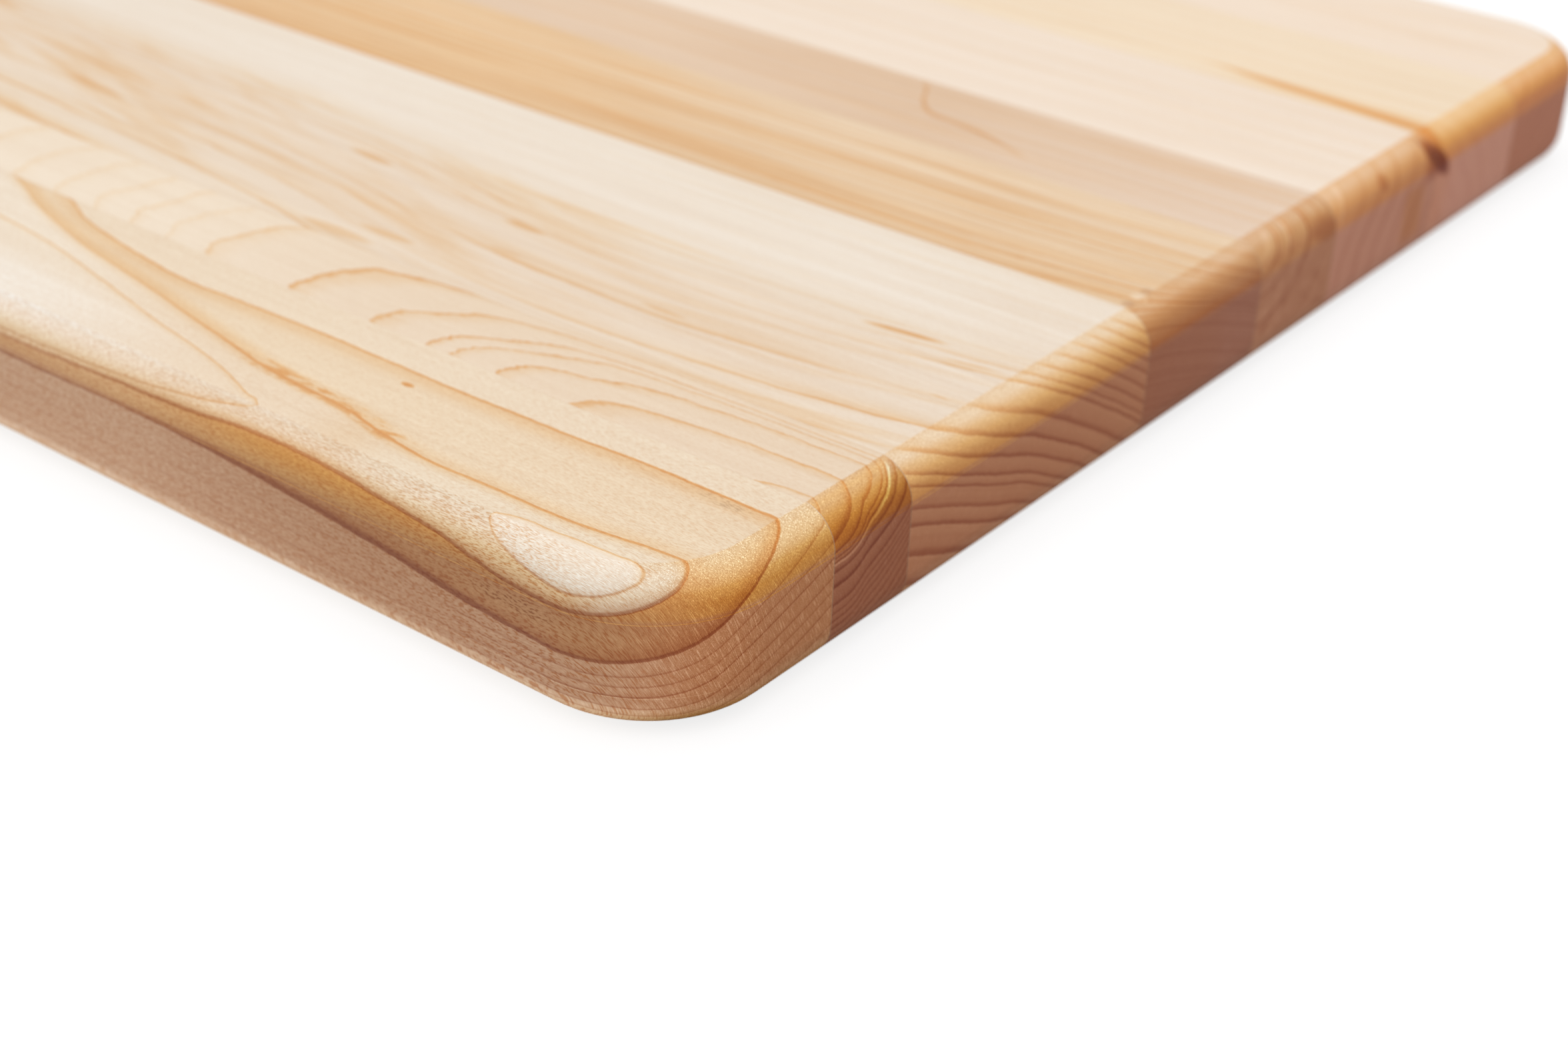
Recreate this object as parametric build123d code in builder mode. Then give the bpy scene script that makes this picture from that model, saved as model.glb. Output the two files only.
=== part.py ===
from build123d import *
import os

# Edge-glued hardwood cutting board, millimetres.
# Frame: +X runs along the grain (the board's length), +Y runs across the staves,
# +Z is up. The origin is the centre of the underside, so the board rests on z = 0.
# Every stave is its own solid; a film of cured wood glue fills each butt joint.
# The rounded outline and the quarter-round edges are cut on every stave and on
# every glue film, so the joints run right through the board and show on the top,
# on both ends and underneath.

# Overall size
board_length = 457.2        # 18 in, along the grain
board_width = 304.8         # 12 in, across the staves
board_thickness = 23.8      # 15/16 in, five-quarter stock after planing and sanding
corner_radius = 20.5        # plan radius of the four corners
edge_radius = 6.2           # quarter-round on every top and bottom edge, 1/4 in cutter, sanded

# Butt joints
glue_thickness = 0.12       # cured glue film

# Stave widths, from the -Y side to the +Y side; the last one takes what is left
stave_width_1 = 34.9
stave_width_2 = 17.8
stave_width_3 = 65.0
stave_width_4 = 36.8
stave_width_5 = 27.2
stave_width_6 = 41.1
stave_width_7 = 36.7

# Lower and upper faces of each stave across the board
y1_low = -board_width / 2
y1_high = y1_low + stave_width_1
y2_low = y1_high + glue_thickness
y2_high = y2_low + stave_width_2
y3_low = y2_high + glue_thickness
y3_high = y3_low + stave_width_3
y4_low = y3_high + glue_thickness
y4_high = y4_low + stave_width_4
y5_low = y4_high + glue_thickness
y5_high = y5_low + stave_width_5
y6_low = y5_high + glue_thickness
y6_high = y6_low + stave_width_6
y7_low = y6_high + glue_thickness
y7_high = y7_low + stave_width_7
y8_low = y7_high + glue_thickness
y8_high = board_width / 2

os.makedirs("parts", exist_ok=True)


def is_rim(edge, joint_y):
    """True for an edge of the top or bottom outline, which takes the quarter-round,
    and False for the edges that lie in the joint face at joint_y and for verticals."""
    box = edge.bounding_box()
    level = box.max.Z - box.min.Z < 1e-6
    in_joint = abs(box.min.Y - joint_y) < 1e-6 and abs(box.max.Y - joint_y) < 1e-6
    return level and not in_joint


# stave_1: the outer stave on the -Y side. Both of its outer corners are rounded.
with BuildPart() as stave_1:
    with BuildSketch(Plane.XY):
        RectangleRounded(board_length, board_width, corner_radius)
        with Locations((0, (y1_low + y1_high) / 2)):
            Rectangle(board_length, y1_high - y1_low, mode=Mode.INTERSECT)
    extrude(amount=board_thickness)
    fillet(stave_1.edges().filter_by(lambda e: is_rim(e, y1_high)), radius=edge_radius)
stave_1.part.label = "stave_1"
export_step(stave_1.part, "parts/stave_1.step")

# glue_line_1: film between stave 1 and stave 2.
with BuildPart() as glue_line_1:
    with BuildSketch(Plane.XY):
        with Locations((0, (y1_high + y2_low) / 2)):
            Rectangle(board_length, y2_low - y1_high)
    extrude(amount=board_thickness)
    fillet(glue_line_1.edges().filter_by(Axis.Y), radius=edge_radius)
glue_line_1.part.label = "glue_line_1"
export_step(glue_line_1.part, "parts/glue_line_1.step")

# stave_2: the narrowest stave.
with BuildPart() as stave_2:
    with BuildSketch(Plane.XY):
        with Locations((0, (y2_low + y2_high) / 2)):
            Rectangle(board_length, y2_high - y2_low)
    extrude(amount=board_thickness)
    fillet(stave_2.edges().filter_by(Axis.Y), radius=edge_radius)
stave_2.part.label = "stave_2"
export_step(stave_2.part, "parts/stave_2.step")

# glue_line_2: film between stave 2 and stave 3.
with BuildPart() as glue_line_2:
    with BuildSketch(Plane.XY):
        with Locations((0, (y2_high + y3_low) / 2)):
            Rectangle(board_length, y3_low - y2_high)
    extrude(amount=board_thickness)
    fillet(glue_line_2.edges().filter_by(Axis.Y), radius=edge_radius)
glue_line_2.part.label = "glue_line_2"
export_step(glue_line_2.part, "parts/glue_line_2.step")

# stave_3: the widest stave.
with BuildPart() as stave_3:
    with BuildSketch(Plane.XY):
        with Locations((0, (y3_low + y3_high) / 2)):
            Rectangle(board_length, y3_high - y3_low)
    extrude(amount=board_thickness)
    fillet(stave_3.edges().filter_by(Axis.Y), radius=edge_radius)
stave_3.part.label = "stave_3"
export_step(stave_3.part, "parts/stave_3.step")

# glue_line_3: film between stave 3 and stave 4.
with BuildPart() as glue_line_3:
    with BuildSketch(Plane.XY):
        with Locations((0, (y3_high + y4_low) / 2)):
            Rectangle(board_length, y4_low - y3_high)
    extrude(amount=board_thickness)
    fillet(glue_line_3.edges().filter_by(Axis.Y), radius=edge_radius)
glue_line_3.part.label = "glue_line_3"
export_step(glue_line_3.part, "parts/glue_line_3.step")

# stave_4
with BuildPart() as stave_4:
    with BuildSketch(Plane.XY):
        with Locations((0, (y4_low + y4_high) / 2)):
            Rectangle(board_length, y4_high - y4_low)
    extrude(amount=board_thickness)
    fillet(stave_4.edges().filter_by(Axis.Y), radius=edge_radius)
stave_4.part.label = "stave_4"
export_step(stave_4.part, "parts/stave_4.step")

# glue_line_4: film between stave 4 and stave 5.
with BuildPart() as glue_line_4:
    with BuildSketch(Plane.XY):
        with Locations((0, (y4_high + y5_low) / 2)):
            Rectangle(board_length, y5_low - y4_high)
    extrude(amount=board_thickness)
    fillet(glue_line_4.edges().filter_by(Axis.Y), radius=edge_radius)
glue_line_4.part.label = "glue_line_4"
export_step(glue_line_4.part, "parts/glue_line_4.step")

# stave_5
with BuildPart() as stave_5:
    with BuildSketch(Plane.XY):
        with Locations((0, (y5_low + y5_high) / 2)):
            Rectangle(board_length, y5_high - y5_low)
    extrude(amount=board_thickness)
    fillet(stave_5.edges().filter_by(Axis.Y), radius=edge_radius)
stave_5.part.label = "stave_5"
export_step(stave_5.part, "parts/stave_5.step")

# glue_line_5: film between stave 5 and stave 6.
with BuildPart() as glue_line_5:
    with BuildSketch(Plane.XY):
        with Locations((0, (y5_high + y6_low) / 2)):
            Rectangle(board_length, y6_low - y5_high)
    extrude(amount=board_thickness)
    fillet(glue_line_5.edges().filter_by(Axis.Y), radius=edge_radius)
glue_line_5.part.label = "glue_line_5"
export_step(glue_line_5.part, "parts/glue_line_5.step")

# stave_6
with BuildPart() as stave_6:
    with BuildSketch(Plane.XY):
        with Locations((0, (y6_low + y6_high) / 2)):
            Rectangle(board_length, y6_high - y6_low)
    extrude(amount=board_thickness)
    fillet(stave_6.edges().filter_by(Axis.Y), radius=edge_radius)
stave_6.part.label = "stave_6"
export_step(stave_6.part, "parts/stave_6.step")

# glue_line_6: film between stave 6 and stave 7.
with BuildPart() as glue_line_6:
    with BuildSketch(Plane.XY):
        with Locations((0, (y6_high + y7_low) / 2)):
            Rectangle(board_length, y7_low - y6_high)
    extrude(amount=board_thickness)
    fillet(glue_line_6.edges().filter_by(Axis.Y), radius=edge_radius)
glue_line_6.part.label = "glue_line_6"
export_step(glue_line_6.part, "parts/glue_line_6.step")

# stave_7
with BuildPart() as stave_7:
    with BuildSketch(Plane.XY):
        with Locations((0, (y7_low + y7_high) / 2)):
            Rectangle(board_length, y7_high - y7_low)
    extrude(amount=board_thickness)
    fillet(stave_7.edges().filter_by(Axis.Y), radius=edge_radius)
stave_7.part.label = "stave_7"
export_step(stave_7.part, "parts/stave_7.step")

# glue_line_7: film between stave 7 and stave 8.
with BuildPart() as glue_line_7:
    with BuildSketch(Plane.XY):
        with Locations((0, (y7_high + y8_low) / 2)):
            Rectangle(board_length, y8_low - y7_high)
    extrude(amount=board_thickness)
    fillet(glue_line_7.edges().filter_by(Axis.Y), radius=edge_radius)
glue_line_7.part.label = "glue_line_7"
export_step(glue_line_7.part, "parts/glue_line_7.step")

# stave_8: the outer stave on the +Y side. Both of its outer corners are rounded.
with BuildPart() as stave_8:
    with BuildSketch(Plane.XY):
        RectangleRounded(board_length, board_width, corner_radius)
        with Locations((0, (y8_low + y8_high) / 2)):
            Rectangle(board_length, y8_high - y8_low, mode=Mode.INTERSECT)
    extrude(amount=board_thickness)
    fillet(stave_8.edges().filter_by(lambda e: is_rim(e, y8_low)), radius=edge_radius)
stave_8.part.label = "stave_8"
export_step(stave_8.part, "parts/stave_8.step")
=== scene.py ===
import math

import bpy
from mathutils import Matrix, Vector


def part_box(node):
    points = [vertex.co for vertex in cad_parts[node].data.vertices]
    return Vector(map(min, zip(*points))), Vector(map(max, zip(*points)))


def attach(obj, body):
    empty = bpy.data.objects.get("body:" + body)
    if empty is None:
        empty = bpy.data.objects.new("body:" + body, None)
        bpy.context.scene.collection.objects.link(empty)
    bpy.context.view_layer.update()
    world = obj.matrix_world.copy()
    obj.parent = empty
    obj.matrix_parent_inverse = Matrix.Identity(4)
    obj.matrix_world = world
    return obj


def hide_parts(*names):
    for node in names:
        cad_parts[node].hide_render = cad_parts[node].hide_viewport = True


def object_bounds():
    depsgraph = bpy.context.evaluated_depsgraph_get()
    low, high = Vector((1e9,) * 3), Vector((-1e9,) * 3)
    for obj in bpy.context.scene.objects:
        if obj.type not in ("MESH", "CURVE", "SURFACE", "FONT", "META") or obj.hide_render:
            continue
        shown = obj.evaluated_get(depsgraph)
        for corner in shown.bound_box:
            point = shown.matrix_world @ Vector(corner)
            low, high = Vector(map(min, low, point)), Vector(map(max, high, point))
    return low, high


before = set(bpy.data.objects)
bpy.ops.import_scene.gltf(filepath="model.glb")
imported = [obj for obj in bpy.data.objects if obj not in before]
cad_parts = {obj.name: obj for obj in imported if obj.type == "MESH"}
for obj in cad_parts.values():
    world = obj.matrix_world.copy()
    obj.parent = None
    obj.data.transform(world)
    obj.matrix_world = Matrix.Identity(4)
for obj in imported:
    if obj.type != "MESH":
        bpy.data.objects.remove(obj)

low0, high0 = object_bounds()
L = high0.x - low0.x
W = high0.y - low0.y
T = high0.z - low0.z
R = 0.0205          # plan radius of the corners
ROUND = 0.0062      # depth of the rounded edge
START = math.radians(8)    # the cutter's arc leaves the face at this angle, which leaves a fine arris
LIP = 0.00004       # the cutter's lower end leaves a fine step on the vertical face

STAVES = ["stave_%d" % i for i in range(1, 9)]
GLUES = ["glue_line_%d" % i for i in range(1, 8)]


# ---------------------------------------------------------------- meshes

def half_profile(recess, n=14):
    """The rounded edge from the top face down the quarter round, as (inset, z, angle) points, and the height below the
    lip at which the wall begins."""
    rho = ROUND / math.cos(START)
    pts = []
    for i in range(n + 1):
        b = START + (math.pi / 2 - START) * i / n
        share = i / n
        pts.append((rho * (1 - math.sin(b)) + LIP * share ** 6, T - rho * (math.cos(START) - math.cos(b)), b))
    out = [(a + recess, z - (recess if k == 0 else recess * math.cos(b)), b) for k, (a, z, b) in enumerate(pts)]
    return out, T - ROUND - 0.00012


def build_piece(name, y0, y1, recess=0.0, dx=0.004, dy=0.002):
    """One stave or glue film between the planes y0 and y1, with its ends, its rounded edges and, on an outer
    stave, its two round corners. A closed quad mesh; the normals are the exact ones of the surface."""
    arc, z_lip = half_profile(recess)
    west = y0 - low0.y < 1e-5      # holds the -Y side of the board
    east = high0.y - y1 < 1e-5     # holds the +Y side of the board
    rho = arc[0][0]                # inset of the top face's outline

    # stations along y on the end, as (y on the outline, corner angle or None); the corner arcs hold the -Y or +Y side
    stations = []
    n_c = 20
    ys0 = low0.y + R if west else y0
    ys1 = high0.y - R if east else y1
    if west:
        stations += [("a", (math.pi / 2) * i / n_c) for i in range(n_c)]      # 0 = facing -Y, 90 deg = facing the end
    n_s = max(1, int(round((ys1 - ys0) / dy)))
    stations += [("s", ys0 + (ys1 - ys0) * i / n_s) for i in range(n_s + 1)]
    if east:
        stations += [("e", (math.pi / 2) * (n_c - i) / n_c) for i in range(1, n_c + 1)]

    def end_point(st, inset, sign):
        """(x, y, nx, ny) on the end named by sign, at the given inset from the outline."""
        kind, v = st
        if kind == "s":
            return sign * (L / 2 - inset), v, float(sign), 0.0
        r = R - inset
        cy, s = (low0.y + R, -1.0) if kind == "a" else (high0.y - R, 1.0)
        return sign * (L / 2 - R + r * math.sin(v)), cy + s * r * math.cos(v), sign * math.sin(v), s * math.cos(v)

    # the rim's outline as stations in order round the piece: +X end going to +Y, then the east side, then the -X end, ...
    n_x = max(2, int(round((L - 2 * R) / dx)))
    verts, faces, normals = [], [], []
    grid = {}

    def vert(key, co):
        if key not in grid:
            grid[key] = len(verts)
            verts.append(co)
        return grid[key]

    # rows of the profile: (inset, z, normal tilt) from the top to the bottom
    rows = [(a, z, ("arc", b, 1)) for a, z, b in arc]
    rows += [(recess, z_lip, ("wall", 0, 0))]
    n_w = 4
    z_mid = [z_lip + (T - 2 * z_lip) * i / n_w for i in range(1, n_w)]
    rows += [(recess, z, ("wall", 0, 0)) for z in z_mid]
    rows += [(recess, T - z_lip, ("wall", 0, 0))]
    rows += [(a, T - z, ("arc", b, -1)) for a, z, b in reversed(arc)]

    def row_normal(i, j, nx, ny):
        """The normal at row i when it bounds the face between rows i and j."""
        ka, kb = rows[i][2], rows[j][2]
        if ka[0] == "arc" and kb[0] == "arc":
            b, s = ka[1], ka[2]
            return (nx * math.sin(b), ny * math.sin(b), s * math.cos(b))
        if ka[0] == "wall" and kb[0] == "wall":
            return (nx, ny, 0.0)
        a, b = (rows[i], rows[j]) if rows[i][1] > rows[j][1] else (rows[j], rows[i])
        dz, da = a[1] - b[1], a[0] - b[0]       # the lip between the arc and the wall
        n = math.hypot(dz, da)
        return (nx * dz / n, ny * dz / n, da / n)

    def strip(points):
        """points: list of (station key, function giving x, y, nx, ny for an inset)"""
        for (k0, f0), (k1, f1) in zip(points[:-1], points[1:]):
            for r in range(len(rows) - 1):
                quad, nor = [], []
                for (k, f), (i, j) in (((k0, f0), (r, r + 1)), ((k0, f0), (r + 1, r)), ((k1, f1), (r + 1, r)), ((k1, f1), (r, r + 1))):
                    x, y, nx, ny = f(rows[i][0])
                    quad.append(vert((k, i), (x, y, rows[i][1])))
                    nor.append(row_normal(i, j, nx, ny))
                faces.append(quad)
                normals.append(nor)

    def end_points(sign):
        return [((sign, i), (lambda inset, st=st: end_point(st, inset, sign))) for i, st in enumerate(stations)]

    def side_points(s):
        """The long side s (-1 or +1), from the -X corner to the +X corner."""
        out = []
        last = 0 if s < 0 else len(stations) - 1
        for i in range(n_x + 1):
            x = -(L / 2 - R) + (L - 2 * R) * i / n_x
            key = (-1, last) if i == 0 else (1, last) if i == n_x else ("side", s, i)
            out.append((key, (lambda inset, x=x: (x, s * (W / 2 - inset), 0.0, float(s)))))
        return out

    strip(end_points(1))
    strip(list(reversed(end_points(-1))))
    if west:
        strip(side_points(-1))
    if east:
        strip(list(reversed(side_points(1))))

    # top and bottom: rows of quads from the -X end to the +X end, one row per station
    for top in (True, False):
        i_row = 0 if top else len(rows) - 1
        z = rows[i_row][1]
        inset = rows[i_row][0]
        line = []
        for si, st in enumerate(stations):
            x1, y, _, _ = end_point(st, inset, 1)
            keys = []
            for i in range(n_x + 1):
                x = -x1 + 2 * x1 * i / n_x
                side = (west and si == 0) or (east and si == len(stations) - 1)
                if i in (0, n_x):
                    key = ((-1 if i == 0 else 1, si), i_row)
                elif side:
                    key = (("side", -1 if si == 0 else 1, i), i_row)
                else:
                    key = ("face", top, si, i)
                keys.append(vert(key, (x, y, z)))
            line.append(keys)
        up = (0.0, 0.0, 1.0 if top else -1.0)
        for a, b in zip(line[:-1], line[1:]):
            for i in range(n_x):
                quad = [a[i], a[i + 1], b[i + 1], b[i]]
                faces.append(quad if top else quad[::-1])
                normals.append([up] * 4)
        if top:
            top_line = line
        else:
            bottom_line = line

    # the flat joint faces
    for si, outer, ny in ((0, west, -1.0), (len(stations) - 1, east, 1.0)):
        if outer:
            continue
        loop = list(top_line[si])
        loop += [grid[((1, si), r)] for r in range(1, len(rows) - 1)]
        loop += list(reversed(bottom_line[si]))
        loop += [grid[((-1, si), r)] for r in range(len(rows) - 2, 0, -1)]
        faces.append(loop if ny > 0 else loop[::-1])
        normals.append([(0.0, ny, 0.0)] * len(loop))

    mesh = bpy.data.meshes.new(name)
    mesh.from_pydata(verts, [], faces)
    # every face points out of the piece
    flat = []
    for poly, nor in zip(mesh.polygons, normals):
        if poly.normal.dot(Vector(nor[0]) + Vector(nor[len(nor) // 2])) < 0:
            poly.flip()
            nor = [nor[0]] + nor[:0:-1]
            want = dict(zip(faces[poly.index], normals[poly.index]))
            nor = [want[v] for v in poly.vertices]
        flat += nor
    mesh.update()
    mesh.shade_smooth()
    mesh.normals_split_custom_set(flat)
    ob = bpy.data.objects.new(name, mesh)
    bpy.context.scene.collection.objects.link(ob)
    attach(ob, "root")
    return ob


pieces = {}
for name in STAVES:
    a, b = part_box(name)
    ob = build_piece(name + "_wood", a.y, b.y)
    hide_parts(name)
    "maple_" + name[-1]
    pieces[name] = ob
for name in GLUES:
    a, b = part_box(name)
    ob = build_piece(name + "_film", a.y, b.y, recess=0.00001, dy=0.01)
    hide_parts(name)
    pieces[name] = ob

# ---------------------------------------------------------------- node expressions

class Graph:
    """Writes shader nodes from ordinary expressions, so that a wood figure can be stated as a formula."""

    def __init__(self, name):
        self.mat = bpy.data.materials.new(name)
        self.mat.use_nodes = True
        self.nt = self.mat.node_tree
        self.nt.nodes.clear()
        self.count = 0

    def node(self, kind, **props):
        n = self.nt.nodes.new(kind)
        n.location = (220 * (self.count // 12), -170 * (self.count % 12))
        self.count += 1
        for k, v in props.items():
            setattr(n, k, v)
        return n

    def put(self, sock, v):
        if isinstance(v, F):
            self.nt.links.new(v.s, sock)
        elif isinstance(v, (tuple, list)):
            sock.default_value = (*v, 1.0) if len(sock.default_value) == 4 and len(v) == 3 else tuple(v)
        else:
            sock.default_value = v

    def math(self, op, *a, clamp=False):
        n = self.node("ShaderNodeMath", operation=op, use_clamp=clamp)
        for i, v in enumerate(a):
            self.put(n.inputs[i], v)
        return F(self, n.outputs[0])

    def vec(self, x, y, z):
        n = self.node("ShaderNodeCombineXYZ")
        for i, v in enumerate((x, y, z)):
            self.put(n.inputs[i], v)
        return F(self, n.outputs[0])

    def noise(self, vec, scale=1.0, detail=2.0, rough=0.5, distort=0.0):
        """Fractal noise about 0, roughly -1 to 1."""
        n = self.node("ShaderNodeTexNoise", noise_dimensions="3D")
        self.put(n.inputs["Vector"], vec)
        n.inputs["Scale"].default_value = scale
        n.inputs["Detail"].default_value = detail
        n.inputs["Roughness"].default_value = rough
        n.inputs["Distortion"].default_value = distort
        return (F(self, n.outputs[0]) - 0.5) * 2.0

    def white(self, v):
        n = self.node("ShaderNodeTexWhiteNoise", noise_dimensions="1D")
        self.put(n.inputs["W"], v)
        return F(self, n.outputs["Value"])

    def ramp(self, x, stops, lo=0.0, hi=1.0, mode="LINEAR"):
        """Colour ramp over lo..hi; stops are (position, colour)."""
        n = self.node("ShaderNodeValToRGB")
        r = n.color_ramp
        r.interpolation = mode
        stops = sorted(stops)
        while len(r.elements) < len(stops):
            r.elements.new(1.0)
        for e, (p, c) in zip(r.elements, stops):
            e.position = (p - lo) / (hi - lo)
        for e, (p, c) in zip(r.elements, stops):
            e.color = (*c, 1) if isinstance(c, (tuple, list)) else (c, c, c, 1)
        self.put(n.inputs[0], x if (lo, hi) == (0.0, 1.0) else (x - lo) / (hi - lo))
        return F(self, n.outputs[0])

    def curve(self, x, pts, lo, hi, vlo, vhi):
        """A smooth curve through (x, value) points."""
        n = self.node("ShaderNodeFloatCurve")
        c = n.mapping.curves[0]
        pts = sorted(pts)
        while len(c.points) < len(pts):
            c.points.new(0.5, 0.5)
        for p, (px, pv) in zip(c.points, pts):
            p.location = ((px - lo) / (hi - lo), (pv - vlo) / (vhi - vlo))
            p.handle_type = "AUTO"
        n.mapping.use_clip = False
        n.mapping.update()
        self.put(n.inputs["Value"], (x - lo) / (hi - lo))
        return F(self, n.outputs[0]) * (vhi - vlo) + vlo

    def smooth(self, x, a, b):
        n = self.node("ShaderNodeMapRange", interpolation_type="SMOOTHSTEP")
        self.put(n.inputs["Value"], x)
        self.put(n.inputs["From Min"], a)
        self.put(n.inputs["From Max"], b)
        n.inputs["To Min"].default_value = 0.0
        n.inputs["To Max"].default_value = 1.0
        return F(self, n.outputs["Result"])

    def mixc(self, f, a, b, blend="MIX"):
        n = self.node("ShaderNodeMix", data_type="RGBA", blend_type=blend)
        self.put(n.inputs[0], f)
        self.put(n.inputs[6], a)
        self.put(n.inputs[7], b)
        return F(self, n.outputs[2])

    def mulc(self, a, b):
        return self.mixc(1.0, a, b, "MULTIPLY")

    def coords(self):
        """x, y, z in millimetres from the near end corner of the board, x negative along the board, and the normal."""
        tc = self.node("ShaderNodeTexCoord")
        sep = self.node("ShaderNodeSeparateXYZ")
        self.nt.links.new(tc.outputs["Object"], sep.inputs[0])
        x = (F(self, sep.outputs[0]) - high0.x) * 1000.0
        y = (F(self, sep.outputs[1]) - low0.y) * 1000.0
        z = F(self, sep.outputs[2]) * 1000.0
        sn = self.node("ShaderNodeSeparateXYZ")
        self.nt.links.new(tc.outputs["Normal"], sn.inputs[0])
        return x, y, z, F(self, sn.outputs[0]), F(self, sn.outputs[1]), F(self, sn.outputs[2])


class F:
    """A value in a Graph."""

    def __init__(self, g, s):
        self.g, self.s = g, s

    def __add__(self, o): return self.g.math("ADD", self, o)
    __radd__ = __add__
    def __sub__(self, o): return self.g.math("SUBTRACT", self, o)
    def __rsub__(self, o): return self.g.math("SUBTRACT", o, self)
    def __mul__(self, o): return self.g.math("MULTIPLY", self, o)
    __rmul__ = __mul__
    def __truediv__(self, o): return self.g.math("DIVIDE", self, o)
    def __rtruediv__(self, o): return self.g.math("DIVIDE", o, self)
    def __pow__(self, o): return self.g.math("POWER", self, o)
    def __neg__(self): return self.g.math("MULTIPLY", self, -1.0)
    def abs(self): return self.g.math("ABSOLUTE", self)
    def floor(self): return self.g.math("FLOOR", self)
    def fract(self): return self.g.math("FRACT", self)
    def sqrt(self): return self.g.math("SQRT", self)
    def sin(self): return self.g.math("SINE", self)
    def exp(self): return self.g.math("EXPONENT", self)
    def min(self, o): return self.g.math("MINIMUM", self, o)
    def max(self, o): return self.g.math("MAXIMUM", self, o)
    def clamp(self): return self.g.math("ADD", self, 0.0, clamp=True)


# ---------------------------------------------------------------- maple

TK = 23.8                        # board thickness, mm

# Slopes at which a stave's edge colours are given: just over the edge of the face, down the quarter round, the wall.
# The colours are partly the end and side grain's own colour and partly painted light and shade: darker down the round
# and the wall where less light falls, a lighter band near slope 0.119 on the ends that is a painted highlight on the
# cutter's lip, and on the underside a lighter round just below the wall, as if lit from the floor.
SLOPES = (0.971, 0.885, 0.748, 0.567, 0.353, 0.119, 0.0)
SIDE_COLOUR_AND_SHADE = [(0.645, 0.525, 0.390), (0.685, 0.550, 0.410), (0.705, 0.545, 0.370), (0.700, 0.500, 0.285), (0.680, 0.445, 0.240), (0.620, 0.375, 0.190), (0.520, 0.292, 0.166)]


def edge_colour_and_shade_ramp(g, nz, face, stops):
    """Multiplier of the face colour by slope: 1 on the faces, with a crisp step where the sanded edge begins. Off the
    faces it holds painted shade and painted highlight as well as the grain's own colour.
    """
    m = [tuple(0.5 * c / f for c, f in zip(col, face)) for col in stops]
    pts = [(1.0, (0.5, 0.5, 0.5)), (0.9935, (0.5, 0.5, 0.5)), (0.989, m[0])] + list(zip(SLOPES, m))
    pts += [(-0.12, m[6]), (-0.35, tuple(c * k for c, k in zip(m[6], (1.22, 1.34, 1.44)))), (-0.62, m[5]), (-0.85, m[3]), (-0.965, m[1]), (-0.989, m[0]), (-0.9935, (0.5, 0.5, 0.5))]
    return g.mulc(g.ramp(nz, pts, -1.0, 1.0), (2.0, 2.0, 2.0))


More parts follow.
